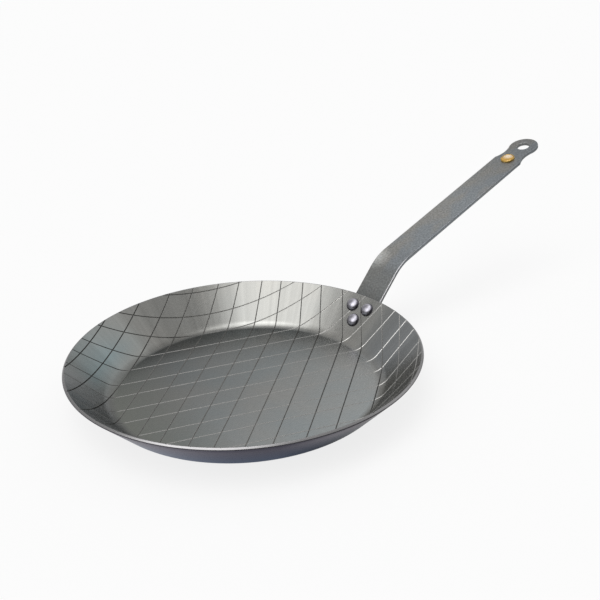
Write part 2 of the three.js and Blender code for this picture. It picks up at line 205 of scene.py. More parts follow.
def add_world():
    """The dim room and its soft panels, added up for every direction."""
    world = bpy.data.worlds.new("studio")
    world.use_nodes = True
    nodes = world.node_tree.nodes
    links = world.node_tree.links
    background = nodes["Background"]
    direction = nodes.new("ShaderNodeTexCoord").outputs["Generated"]
    total = None
    for turn, elevation, core, edge, colour in LIGHT_PANELS:
        nearness = nodes.new("ShaderNodeVectorMath")
        nearness.operation = "DOT_PRODUCT"
        nearness.inputs[1].default_value = direction_from(VIEW_AZIMUTH + turn, elevation)
        links.new(direction, nearness.inputs[0])
        fade = nodes.new("ShaderNodeMapRange")
        fade.interpolation_type = "SMOOTHSTEP"
        fade.inputs["From Min"].default_value = math.cos(math.radians(edge))
        fade.inputs["From Max"].default_value = math.cos(math.radians(core))
        links.new(nearness.outputs["Value"], fade.inputs["Value"])
        panel = nodes.new("ShaderNodeVectorMath")
        panel.operation = "SCALE"
        panel.inputs[0].default_value = colour
        links.new(fade.outputs["Result"], panel.inputs["Scale"])
        added = nodes.new("ShaderNodeVectorMath")
        added.operation = "ADD"
        added.inputs[0].default_value = (ROOM_LEVEL, ROOM_LEVEL, ROOM_LEVEL)
        if total:
            links.new(total, added.inputs[0])
        links.new(panel.outputs["Vector"], added.inputs[1])
        total = added.outputs["Vector"]
    links.new(total, background.inputs["Color"])
    bpy.context.scene.world = world


def add_floor():
    """Plain pale floor, far larger than the view, so that it fills the picture."""
    half = 6.0
    drop = -0.0002
    mesh = bpy.data.meshes.new("floor")
    corners = [(-half, -half, drop), (half, -half, drop), (half, half, drop), (-half, half, drop)]
    mesh.from_pydata(corners, [], [(0, 1, 2, 3)])
    mesh.materials.append(pale_floor())
    floor = bpy.data.objects.new("floor", mesh)
    bpy.context.scene.collection.objects.link(floor)


def pale_floor():
    """Matte white, lifted towards plain white where seen directly or mirrored; it keeps its shadows."""
    lift = 0.82
    material = bpy.data.materials.new("pale_floor")
    material.use_nodes = True
    nodes = material.node_tree.nodes
    links = material.node_tree.links
    matte = nodes["Principled BSDF"]
    matte.inputs["Base Color"].default_value = (0.93, 0.93, 0.93, 1)
    matte.inputs["Roughness"].default_value = 1
    matte.inputs["Specular IOR Level"].default_value = 0
    white = nodes.new("ShaderNodeEmission")
    white.inputs["Strength"].default_value = 1
    seen = nodes.new("ShaderNodeLightPath")
    share = seen.outputs["Is Camera Ray"]
    for other in ("Is Glossy Ray", "Is Transmission Ray"):
        either = nodes.new("ShaderNodeMath")
        either.operation = "MAXIMUM"
        links.new(share, either.inputs[0])
        links.new(seen.outputs[other], either.inputs[1])
        share = either.outputs["Value"]
    lifted = nodes.new("ShaderNodeMath")
    lifted.operation = "MULTIPLY"
    lifted.inputs[1].default_value = lift
    links.new(share, lifted.inputs[0])
    mix = nodes.new("ShaderNodeMixShader")
    links.new(lifted.outputs["Value"], mix.inputs["Fac"])
    links.new(matte.outputs["BSDF"], mix.inputs[1])
    links.new(white.outputs["Emission"], mix.inputs[2])
    links.new(mix.outputs["Shader"], nodes["Material Output"].inputs["Surface"])
    return material


# Pieces

class PieceMesh:
    """Corners with exact normals, faces, and for each corner its place on the flat stock and its finish."""

    def __init__(self):
        self.corners = []
        self.normals = []
        self.faces = []
        self.stock = []
        self.finish = []

    def add(self, corner, normal, stock=(0, 0), finish=(0, 0, 0)):
        self.corners.append(corner)
        self.normals.append(normal)
        self.stock.append(stock)
        self.finish.append((*finish, 1))
        return len(self.corners) - 1

    def join(self, ring, following_ring):
        """Faces between two closed rings of corners."""
        for i in range(len(ring)):
            after = (i + 1) % len(ring)
            self.faces.append([ring[i], following_ring[i], following_ring[after], ring[after]])

    def place(self, name, material, node, slot):
        """Makes the object and sets it in the place of its node."""
        mesh = bpy.data.meshes.new(name)
        mesh.from_pydata(self.corners, [], self.faces)
        mesh.update()
        stock_layer = mesh.uv_layers.new(name="stock")
        for loop in mesh.loops:
            stock_layer.data[loop.index].uv = self.stock[loop.vertex_index]
        finish_layer = mesh.color_attributes.new("finish", "FLOAT_COLOR", "POINT")
        for number, colour in enumerate(self.finish):
            finish_layer.data[number].color = colour
        mesh.normals_split_custom_set_from_vertices(self.normals)
        mesh.materials.append(material)
        piece = bpy.data.objects.new(name, mesh)
        bpy.context.scene.collection.objects.link(piece)
        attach(piece, "root")
        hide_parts(node)
        return piece


# Pan body

def pressed_angle(distance):
    """Slope of the pressed sheet at a distance from the middle of the blank."""
    return min(max((distance - FLOOR_RADIUS) / BEND_RADIUS, 0), WALL_SLOPE)


def pressed_point(distance, azimuth, depth):
    """A blank point on the pressed sheet, at a depth below the inner face."""
    angle = pressed_angle(distance)
    flat = min(distance, FLOOR_RADIUS)
    straight = max(0, distance - BEND_END)
    arc = BEND_RADIUS + depth
    radius = flat + arc * math.sin(angle) + straight * math.cos(WALL_SLOPE)
    height = SHEET + BEND_RADIUS - arc * math.cos(angle) + straight * math.sin(WALL_SLOPE)
    return Vector((radius * math.cos(azimuth), radius * math.sin(azimuth), height))


def sheet_axes(distance, azimuth):
    """Unit vectors at a place on the inner face: out of the metal, up the slope, and around."""
    angle = pressed_angle(distance)
    outward = Vector((math.cos(azimuth), math.sin(azimuth), 0))
    up = Vector((0, 0, 1))
    normal = up * math.cos(angle) - outward * math.sin(angle)
    slope = outward * math.cos(angle) + up * math.sin(angle)
    around = Vector((-math.sin(azimuth), math.cos(azimuth), 0))
    return normal, slope, around


def groove_lines():
    """Every groove as a line on the blank: normal, offset from the middle, depth, and number of its set."""
    lines = []
    reach = math.ceil(BLANK_RADIUS / PAIR_PITCH) + 1
    for number, (direction, set_offset, depth) in enumerate(GROOVE_SETS):
        normal = (-math.sin(direction), math.cos(direction))
        for pair in range(-reach, reach + 1):
            for side in (-0.5, 0.5):
                offset = set_offset + pair * PAIR_PITCH + side * PAIR_GAP
                if abs(offset) < BLANK_RADIUS - 2 * GROOVE_HALF:
                    lines.append((normal, offset, depth, number))
    return lines


GROOVES = groove_lines()


def crossing(a, b, height_a, height_b):
    """Where an edge crosses a line, worked out from the same end for both cells that share it."""
    if b < a:
        a, b, height_a, height_b = b, a, height_b, height_a
    share = height_a / (height_a - height_b)
    return (a[0] + (b[0] - a[0]) * share, a[1] + (b[1] - a[1]) * share)


def cut_polygon(polygon, normal, offset):
    """Cuts a convex polygon along a line; corners close to the line count as lying on it."""
    heights = [x * normal[0] + y * normal[1] - offset for x, y in polygon]
    if min(heights) > -SNAP or max(heights) < SNAP:
        return [polygon]
    heights = [0 if abs(height) < SNAP else height for height in heights]
    above = []
    below = []
    for i, point in enumerate(polygon):
        following = (i + 1) % len(polygon)
        if heights[i] >= 0:
            above.append(point)
        if heights[i] <= 0:
            below.append(point)
        if heights[i] * heights[following] < 0:
            cut = crossing(point, polygon[following], heights[i], heights[following])
            above.append(cut)
            below.append(cut)
    return [above, below]


def scribed_cells():
    """The blank's inner face as polygons: a polar net, cut along the strips of every groove."""
    rings = [FLOOR_RADIUS + BEND_LENGTH * step / BEND_STEPS for step in range(BEND_STEPS + 1)]
    rings.append(EDGE_DISTANCE)

    def corner(ring, sector):
        azimuth = 2 * math.pi * (sector % SECTORS) / SECTORS
        return (rings[ring] * math.cos(azimuth), rings[ring] * math.sin(azimuth))

    polygons = [[corner(0, sector) for sector in range(SECTORS)]]
    for ring in range(1, len(rings)):
        for sector in range(SECTORS):
            inner = (corner(ring - 1, sector), corner(ring - 1, sector + 1))
            outer = (corner(ring, sector), corner(ring, sector + 1))
            polygons.append([inner[0], outer[0], outer[1], inner[1]])
    for normal, offset, _, _ in GROOVES:
        for share in GROOVE_CUTS:
            cut = offset + share * GROOVE_HALF
            polygons = [part for polygon in polygons for part in cut_polygon(polygon, normal, cut)]
    return polygons


def groove_profile(share):
    """Depth and steepness of a V groove of unit depth, at a share of its half width from its middle."""
    shoulder = 1 - GROOVE_SHOULDER
    if share > GROOVE_SHOULDER:
        rounding = (1 - share) / shoulder
        return GROOVE_STEEPNESS * shoulder * rounding ** 2 / 2, GROOVE_STEEPNESS * rounding
    flank = max(share, GROOVE_BOTTOM)
    depth = GROOVE_STEEPNESS * (shoulder / 2 + GROOVE_SHOULDER - flank)
    return depth, GROOVE_STEEPNESS * min(1, share / GROOVE_BOTTOM)


def groove_at(point):
    """The deepest groove at a blank point: depth, its growth across, normal, and share of each set."""
    deepest = (0, 0, (0, 0), (0, 0))
    for normal, offset, full_depth, number in GROOVES:
        across = point[0] * normal[0] + point[1] * normal[1] - offset
        share = abs(across) / GROOVE_HALF
        if share < 1 - SNAP / GROOVE_HALF:
            depth, steepness = groove_profile(share)
            growth = -math.copysign(steepness, across) * full_depth / GROOVE_HALF
            shares = [0, 0]
            shares[number] = min(1, (1 - share) / (1 - GROOVE_SHOULDER))
            if depth * full_depth > deepest[0]:
                deepest = (depth * full_depth, growth, normal, shares)
    return deepest


def is_on_edge(point):
    """Whether a blank point lies on the outermost chords of the net, which stand for the round edge."""
    chord = 2 * math.pi / SECTORS
    from_middle = math.atan2(point[1], point[0]) % chord - chord / 2
    return math.hypot(*point) * math.cos(from_middle) > EDGE_DISTANCE * math.cos(chord / 2) - SAME_PLACE


def add_grooved_corner(mesh, distance, azimuth, groove):
    """Places a corner on the inner face, sunk and tilted by its groove."""
    depth, growth, across, shares = groove
    normal, slope, around = sheet_axes(distance, azimuth)
    along_slope = across[0] * math.cos(azimuth) + across[1] * math.sin(azimuth)
    along_turn = across[1] * math.cos(azimuth) - across[0] * math.sin(azimuth)
    tilted = normal + (slope * along_slope + around * along_turn) * growth
    stock = (distance * math.cos(azimuth), distance * math.sin(azimuth))
    return mesh.add(pressed_point(distance, azimuth, depth), tilted.normalized(), stock, (*shares, 0))


def add_outer_corner(mesh, azimuth, ring, groove):
    """Places a corner on the rim or outside; a groove runs over the rim until the rounding is deeper."""
    distance, depth, lean, finish = ring
    if depth < groove[0]:
        return add_grooved_corner(mesh, distance, azimuth, groove)
    normal, slope, _ = sheet_axes(distance, azimuth)
    tilted = (normal * lean[0] + slope * lean[1]).normalized()
    stock = (distance * math.cos(azimuth), distance * math.sin(azimuth))
    return mesh.add(pressed_point(distance, azimuth, depth), tilted, stock, finish)


def outer_rings():
    """Rings over the rounded rim and down the outside: distance, depth, lean of the normal, and finish."""
    rings = []
    cut_edge = (0, 0, 0.5)
    outside = (0, 0, 1)
    for step in range(1, ROUND_STEPS + 1):
        a = math.pi / 2 * step / ROUND_STEPS
        distance = EDGE_DISTANCE + RIM_ROUND * math.sin(a)
        rings.append((distance, RIM_ROUND * (1 - math.cos(a)), (math.cos(a), math.sin(a)), cut_edge))
    for step in range(ROUND_STEPS + 1):
        a = math.pi / 2 * step / ROUND_STEPS
        distance = EDGE_DISTANCE + RIM_ROUND * math.cos(a)
        depth = SHEET - RIM_ROUND + RIM_ROUND * math.sin(a)
        finish = outside if step else cut_edge
        rings.append((distance, depth, (-math.sin(a), math.cos(a)), finish))
    for step in range(BEND_STEPS, -1, -1):
        rings.append((FLOOR_RADIUS + BEND_LENGTH * step / BEND_STEPS, SHEET, (-1, 0), outside))
    return rings


def add_pan(material):
    """The pressed sheet: the grooved inner face, the rim and the outside, as one closed mesh."""
    mesh = PieceMesh()
    numbers = {}
    for polygon in scribed_cells():
        for point in polygon:
            if point not in numbers:
                distance = EDGE_DISTANCE if is_on_edge(point) else math.hypot(*point)
                azimuth = math.atan2(point[1], point[0])
                numbers[point] = add_grooved_corner(mesh, distance, azimuth, groove_at(point))
        mesh.faces.append([numbers[point] for point in polygon])
    edge = [point for point in numbers if is_on_edge(point)]
    edge.sort(key=lambda point: math.atan2(point[1], point[0]))
    run_outs = [(math.atan2(point[1], point[0]), groove_at(point)) for point in edge]
    previous = [numbers[point] for point in edge]
    for outer_ring in outer_rings():
        ring = [add_outer_corner(mesh, azimuth, outer_ring, groove) for azimuth, groove in run_outs]
        mesh.join(previous, ring)
        previous = ring
    mesh.faces.append(previous[::-1])
    return mesh.place("pan", material, "pan_body", "pan_steel")


# Handle

RIM_OUTER = pressed_point(BLANK_RADIUS, 0, SHEET)
RIM_INNER = pressed_point(BLANK_RADIUS, 0, 0)
UP_WALL = Vector((math.cos(WALL_SLOPE), 0, math.sin(WALL_SLOPE)))
OUT_OF_WALL = Vector((math.sin(WALL_SLOPE), 0, -math.cos(WALL_SLOPE)))
TOP_BEND = HANDLE_BEND + HANDLE_THICKNESS
BEND_TURN = WALL_SLOPE - GRIP_RISE
TANGENT = TOP_BEND * math.tan(BEND_TURN / 2)
HANDLE_START = RIM_OUTER + OUT_OF_WALL * SEAT_GAP
BEND_START = HANDLE_START + UP_WALL * (LOWER_BAR - TANGENT)
BEND_CENTRE = BEND_START + OUT_OF_WALL * TOP_BEND
ARC_LENGTH = TOP_BEND * BEND_TURN

# Lengths along the bar's upper face, from the start of the bend
LOWER_RIVET_DEPTH = UPPER_RIVET_DEPTH + RIVET_ROW_GAP
RIM_PLACE = -(LOWER_BAR - TANGENT)
TAB_END = RIM_PLACE - LOWER_RIVET_DEPTH - TAB_MARGIN
EYE_PLACE = ARC_LENGTH + EYE_DISTANCE - TANGENT
BADGE_PLACE = EYE_PLACE - BADGE_TO_EYE
NECK_HALF = HANDLE_WIDTH / 2 - NECK_DEPTH
EYE_RADIUS = NECK_HALF + EYE_BULGE
NECK_OFFSET = NECK_HALF + NECK_RADIUS
NECK_PLACE = EYE_PLACE - math.sqrt((EYE_RADIUS + NECK_RADIUS) ** 2 - NECK_OFFSET ** 2)
SHOULDER_PLACE = NECK_PLACE - math.sqrt(NECK_RADIUS ** 2 - (NECK_RADIUS - NECK_DEPTH) ** 2)
HEAD_START = BADGE_PLACE - BADGE


def bent_frame(along):
    """The bar's upper face at a length along it: place, normal and forward direction."""
    turn = min(max(along / TOP_BEND, 0), BEND_TURN)
    slope = WALL_SLOPE - turn
    normal = Vector((-math.sin(slope), 0, math.cos(slope)))
    forward = Vector((math.cos(slope), 0, math.sin(slope)))
    straight = min(along, 0) + max(along - ARC_LENGTH, 0)
    return BEND_CENTRE + normal * TOP_BEND + forward * straight, normal, forward


def arc_points(centre, radius, start, end, steps):
    """Points along an arc, each with the direction that points away from the arc's centre."""
    points = []
    for step in range(steps + 1):
        angle = start + (end - start) * step / steps
        direction = (math.cos(angle), math.sin(angle))
        points.append(((centre[0] + radius * direction[0], centre[1] + radius * direction[1]), direction))
    return points


def reversed_directions(points):
    """The same places, with their directions turned round."""
    return [(place, (-direction[0], -direction[1])) for place, direction in points]


def left_outline():
    """The bar's left edge from the end of the tab to the tip, in four runs: tab, sides, neck and eye."""
    half = HANDLE_WIDTH / 2
    shoulder_angle = math.atan2(NECK_RADIUS - NECK_DEPTH, SHOULDER_PLACE - NECK_PLACE)
    eye_angle = math.atan2(NECK_OFFSET, EYE_PLACE - NECK_PLACE)
    stations = [ARC_LENGTH * step / BAR_BEND_STEPS for step in range(BAR_BEND_STEPS + 1)] + [HEAD_START]
    tab = arc_points((TAB_END + half, 0), half, math.pi, math.pi / 2, TAB_STEPS)
    sides = [((station, half), (0, 1)) for station in stations]
    neck = arc_points((NECK_PLACE, NECK_OFFSET), NECK_RADIUS, -shoulder_angle, -eye_angle, NECK_STEPS)
    eye = arc_points((EYE_PLACE, 0), EYE_RADIUS, math.pi - eye_angle, 0, EYE_STEPS)
    return tab, sides, reversed_directions(neck), eye[1:]


def mirrored(points):
    """The same run on the right side of the bar."""
    return [((place[0], -place[1]), (direction[0], -direction[1])) for place, direction in points]


def edge_profile():
    """Rounded edge of the bar, upper to lower face: inset, depth, lean outward and rise of the normal."""
    upper = []
    for step in range(ROUND_STEPS + 1):
        a = math.pi / 2 * step / ROUND_STEPS
        inset = HANDLE_EDGE * (1 - math.sin(a))
        upper.append((inset, HANDLE_EDGE * (1 - math.cos(a)), math.sin(a), math.cos(a)))
    lower = [(inset, HANDLE_THICKNESS - depth, lean, -rise) for inset, depth, lean, rise in reversed(upper)]
    return upper + lower


def add_bar_edge(mesh, loop):
    """Carries a closed loop of places round the edge profile; returns its top and bottom rings."""
    rings = []
    for inset, depth, lean, rise in edge_profile():
        ring = []
        for place, direction in loop:
            along = place[0] - direction[0] * inset
            sideways = place[1] - direction[1] * inset
            upper, normal, forward = bent_frame(along)
            side = Vector((0, direction[1], 0)) + forward * direction[0]
            corner = upper + Vector((0, sideways, 0)) - normal * depth
            tilted = (side * lean + normal * rise).normalized()
            ring.append(mesh.add(corner, tilted, (along, sideways), (lean, 0, 0)))
        rings.append(ring)
    for upper_ring, lower_ring in zip(rings, rings[1:]):
        mesh.join(upper_ring, lower_ring)
    return rings[0], rings[-1]


def hole_loop(centre, diameter):
    """Places round a hole, clockwise from its far side, with directions that point into it."""
    return reversed_directions(arc_points((centre, 0), diameter / 2, 0, -2 * math.pi, HOLE_STEPS)[:-1])


def add_bar_face(mesh, left, right, hole, stem, tab_count, head, order):
    """One flat face of the bar, from its left and right edges and the two holes on its axis."""
    rounded = left[:tab_count] + right[tab_count - 1:0:-1]
    mesh.faces.append(rounded[::-order])
    for i in range(tab_count - 1, head):
        mesh.faces.append([left[i], right[i], right[i + 1], left[i + 1]][::order])
    half_hole = len(hole) // 2
    left_side = left[head:]
    right_side = right[head:]
    for opening in (hole, stem):
        left_side = left_side + [opening[-i] for i in range(half_hole + 1)]
        right_side = right_side + [opening[i] for i in range(half_hole + 1)]
    mesh.faces.append(left_side[::-order])
    mesh.faces.append(right_side[::order])
    mesh.faces.append([left[head], right[head], left_side[-1]][::order])


def add_handle(material):
    """The bent bar, cut to its outline, with the hanging hole and the hole for the badge's stem."""
    mesh = PieceMesh()
    tab, sides, neck, eye = left_outline()
    outline = tab + sides + neck + eye
    opposite = mirrored(outline)
    loop = outline[::-1] + opposite[1:-1]
    count = len(outline)
    edges = add_bar_edge(mesh, loop)
    holes = add_bar_edge(mesh, hole_loop(EYE_PLACE, HANG_HOLE))
    stems = add_bar_edge(mesh, hole_loop(BADGE_PLACE, BADGE_STEM_HOLE))
    head = len(tab) + len(sides) - 1
    for ring, hole, stem, order in zip(edges, holes, stems, (1, -1)):
        left = ring[count - 1::-1]
        right = [ring[count - 1]] + ring[count:] + [ring[0]]
        add_bar_face(mesh, left, right, hole, stem, len(tab), head, order)
    return mesh.place("grip", material, "handle", "handle_steel")


# Turned pieces

def turn_profile(profile, place):
    """Turns a profile of radius, height and normal about the local Z of a placement."""
    mesh = PieceMesh()
    turn_only = place.to_3x3()
    rings = []
    for radius, height, lean, rise in profile:
        ring = []
        for side in range(TURNED_SIDES):
            angle = 2 * math.pi * side / TURNED_SIDES
            outward = Vector((math.cos(angle), math.sin(angle), 0))
            corner = outward * radius + Vector((0, 0, height))
            normal = (outward * lean + Vector((0, 0, rise))).normalized()
            ring.append(mesh.add(place @ corner, turn_only @ normal, corner.to_2d()))
        rings.append(ring)
    for ring, following in zip(rings, rings[1:]):
        mesh.join(following, ring)
    mesh.faces.append(rings[0][::-1])
    mesh.faces.append(rings[-1])
    return mesh


def dome_profile(radius, edge, height):
    """Rings of an oval dome, from its edge nearly to its tip."""
    rings = []
    for step in range(DOME_STEPS):
        a = math.pi / 2 * step / (DOME_STEPS - 0.5)
        lean = math.cos(a) / radius
        rings.append((radius * math.cos(a), edge + height * math.sin(a), lean, math.sin(a) / height))
    return rings


def rivet_seat(depth, sideways):
    """Placement of a rivet on the inner wall, and the height of the handle's outer face behind it."""
    radius = RIM_INNER.x - depth * math.cos(WALL_SLOPE)
    height = RIM_INNER.z - depth * math.sin(WALL_SLOPE)
    turn = math.asin(sideways / radius)
    place = Matrix.Rotation(turn, 4, "Z") @ Matrix.Translation((radius, 0, height))
    place = place @ Matrix.Rotation(-WALL_SLOPE, 4, "Y")
    axis = place.to_3x3() @ Vector((0, 0, 1))
    back = HANDLE_START + OUT_OF_WALL * HANDLE_THICKNESS
    return place, (back - place.translation).dot(OUT_OF_WALL) / axis.dot(OUT_OF_WALL)


def add_rivet(name, node, depth, sideways, material):
    """Domed head, shank and lower head; the heads reach a little into the sheets, so that no gap shows."""
    place, back = rivet_seat(depth, sideways)
    sunk = 0.15 * MM
    behind = dome_profile(RIVET_BACK / 2, back, -RIVET_BACK_HEIGHT)[::-1]
    shank = [
        (RIVET_BACK / 2, back + sunk, 1, 0),
        (RIVET_SHANK / 2, back + sunk, 1, 0),
        (RIVET_SHANK / 2, -sunk, 1, 0),
        (RIVET_HEAD / 2, -sunk, 1, 0),
    ]
    head = dome_profile(RIVET_HEAD / 2, SEAT_GAP, RIVET_HEIGHT)
    return turn_profile(behind + shank + head, place).place(name, material, node, "rivet_steel")


def badge_placement():
    """Placement of the badge on the bar: X towards the eye, Y to the left."""
    place, normal, forward = bent_frame(BADGE_PLACE)
    turn = Matrix((forward, Vector((0, 1, 0)), normal)).transposed().to_4x4()
    return Matrix.Translation(place) @ turn


def add_badge_cup(material):
    """Brass cup with a rounded lip, on a stem through the handle."""
    radius = BADGE / 2
    bore = radius - BADGE_WALL
    lip = BADGE_WALL / 2
    chamfer = 0.2 * MM
    profile = [
        (BADGE_STEM / 2 - chamfer, -HANDLE_THICKNESS, 0, -1),
        (BADGE_STEM / 2, -HANDLE_THICKNESS + chamfer, 1, 0),
        (BADGE_STEM / 2, 0, 1, 0),
        (radius, 0, 1, 0),
    ]
    for step in range(LIP_STEPS + 1):
        a = math.pi * step / LIP_STEPS
        height = BADGE_LIP - lip + lip * math.sin(a)
        profile.append((radius - lip + lip * math.cos(a), height, math.cos(a), math.sin(a)))
    profile += [(bore, BADGE_FLOOR, -1, 0), (bore / 2, BADGE_FLOOR, 0, 1)]
    cup = turn_profile(profile, badge_placement())
    return cup.place("badge_setting", material, "badge_cup", "badge_brass")


def add_badge_dome(material):
    """Low dome of resin, seated in the cup."""
    radius = BADGE / 2 - BADGE_WALL - BADGE_CLEARANCE / 3
    base = BADGE_FLOOR + BADGE_CLEARANCE
    profile = [(radius / 2, base, 0, -1), (radius, base, 1, 0)]
    profile += dome_profile(radius, BADGE_LIP - BADGE_WALL / 2, BADGE_DOME)
    dome = turn_profile(profile, badge_placement())
    return dome.place("badge_resin", material, "badge_dome", "badge_amber")


# Materials

class Surface:
    """A metal or resin material under construction."""

    def __init__(self, name, metallic):
        self.material = bpy.data.materials.new(name)
        self.material.use_nodes = True
        self.nodes = self.material.node_tree.nodes
        self.links = self.material.node_tree.links
        self.shader = self.nodes["Principled BSDF"]
        self.shader.inputs["Metallic"].default_value = metallic

    def stock(self):
        """Place on the flat stock, in metres."""
        node = self.nodes.new("ShaderNodeUVMap")
        node.uv_map = "stock"
        return node.outputs["UV"]

    def finish(self):
        """The three finish shares of the corners."""
        attribute = self.nodes.new("ShaderNodeVertexColor")
        attribute.layer_name = "finish"
        split = self.nodes.new("ShaderNodeSeparateColor")
        self.links.new(attribute.outputs["Color"], split.inputs[0])
        return split.outputs[0], split.outputs[1], split.outputs[2]

    def stretched(self, vector, scale, turn=0.0):
        node = self.nodes.new("ShaderNodeMapping")
        node.inputs["Scale"].default_value = scale
        node.inputs["Rotation"].default_value = (0, 0, turn)
        self.links.new(vector, node.inputs["Vector"])
        return node.outputs["Vector"]

    def bearing(self, vector):
        """Only the direction of a place from the middle."""
        node = self.nodes.new("ShaderNodeVectorMath")
        node.operation = "NORMALIZE"
        self.links.new(vector, node.inputs[0])
        return node.outputs["Vector"]

    def distance(self, vector, centre=(0, 0)):
        """Distance of a place from a centre."""
        node = self.nodes.new("ShaderNodeVectorMath")
        node.operation = "DISTANCE"
        node.inputs[1].default_value = (*centre, 0)
        self.links.new(vector, node.inputs[0])
        return node.outputs["Value"]

    def along(self, vector, degrees):
        """How far a place lies in a direction."""
        azimuth = math.radians(degrees)
        node = self.nodes.new("ShaderNodeVectorMath")
        node.operation = "DOT_PRODUCT"
        node.inputs[1].default_value = (math.cos(azimuth), math.sin(azimuth), 0)
        self.links.new(vector, node.inputs[0])
        return node.outputs["Value"]

    def plus(self, value, other):
        node = self.nodes.new("ShaderNodeMath")
        self.links.new(value, node.inputs[0])
        self.links.new(other, node.inputs[1])
        return node.outputs["Value"]

    def product(self, value, other):
        node = self.nodes.new("ShaderNodeMath")
        node.operation = "MULTIPLY"
        self.links.new(value, node.inputs[0])
        self.links.new(other, node.inputs[1])
        return node.outputs["Value"]

    def noise(self, vector, scale, detail):
        node = self.nodes.new("ShaderNodeTexNoise")
        node.inputs["Scale"].default_value = scale
        node.inputs["Detail"].default_value = detail
        self.links.new(vector, node.inputs["Vector"])
        return node.outputs["Fac"]

    def ramp(self, factor, stops):
        node = self.nodes.new("ShaderNodeValToRGB")
        elements = node.color_ramp.elements
        while len(elements) < len(stops):
            elements.new(0.5)
        for element, (position, colour) in zip(elements, stops):
            element.position = position
            element.color = (*colour, 1)
        self.links.new(factor, node.inputs["Fac"])
        return node.outputs["Color"]

    def mapped(self, value, low, high, start=0.3, end=0.7):
        node = self.nodes.new("ShaderNodeMapRange")
        node.inputs["From Min"].default_value = start
        node.inputs["From Max"].default_value = end
        node.inputs["To Min"].default_value = low
        node.inputs["To Max"].default_value = high
        self.links.new(value, node.inputs["Value"])
        return node.outputs["Result"]

    def times(self, colour, factor):
        """A colour, made lighter or darker by a factor."""
        node = self.nodes.new("ShaderNodeVectorMath")
        node.operation = "SCALE"
        self.links.new(colour, node.inputs[0])
        self.links.new(factor, node.inputs["Scale"])
        return node.outputs["Vector"]

    def tinted(self, colour, other):
        """A colour multiplied by another one."""
        node = self.nodes.new("ShaderNodeVectorMath")
        node.operation = "MULTIPLY"
        self.links.new(colour, node.inputs[0])
        self.links.new(other, node.inputs[1])
        return node.outputs["Vector"]

    def towards(self, colour, other, share):
        """A colour that goes over to another, given as a link or as plain numbers, where the share is 1."""
        node = self.nodes.new("ShaderNodeMix")
        node.data_type = "RGBA"
        first, second = [socket for socket in node.inputs if socket.type == "RGBA"]
        if isinstance(other, tuple):
            second.default_value = (*other, 1)
        else:
            self.links.new(other, second)
        self.links.new(share, node.inputs["Factor"])
        self.links.new(colour, first)
        return next(socket for socket in node.outputs if socket.type == "RGBA")

    def bump(self, height, strength, distance):
        node = self.nodes.new("ShaderNodeBump")
        node.inputs["Strength"].default_value = strength
        node.inputs["Distance"].default_value = distance
        self.links.new(height, node.inputs["Height"])
        self.links.new(node.outputs["Normal"], self.shader.inputs["Normal"])

    def colour(self, colour):
        self.links.new(colour, self.shader.inputs["Base Color"])

    def edge_tint(self, colour):
        """Colour of the reflection at a flat angle."""
        self.links.new(colour, self.shader.inputs["Specular Tint"])

    def roughness(self, value):
        self.links.new(value, self.shader.inputs["Roughness"])


def toned(levels, tone=(1, 1, 1)):
    """Ramp stops at these places, of one tone at these levels."""
    return [(place, tuple(level * share for share in tone)) for place, level in levels]


def floor_tint(surface, stock, cloud):
    """Cool grey, with painted light towards the right front and painted shade at the far and left sides."""
    # Painted light: brighter towards the right front, darker opposite
    painted_light = surface.mapped(surface.along(stock, BRIGHT_FLOOR), 0.65, 1.66, -FLOOR_RADIUS, FLOOR_RADIUS)
    tint = surface.ramp(cloud, [(0.35, (0.292, 0.316, 0.321)), (0.65, (0.324, 0.327, 0.318))])
    tint = surface.times(tint, painted_light)
    # Painted shade towards the far side
    far_side = surface.along(stock, FAR_FLOOR)
    tint = surface.times(tint, surface.mapped(far_side, 1, 0.72, 0.35 * FLOOR_RADIUS, FLOOR_RADIUS))
    # Painted shade: a darker, warmer tone on the left side
    left_side = surface.along(stock, SHADED_FLOOR)
    shaded_left = surface.mapped(left_side, 0, 1, 0.4 * FLOOR_RADIUS, FLOOR_RADIUS)
    return surface.towards(tint, (0.262, 0.272, 0.248), shaded_left)


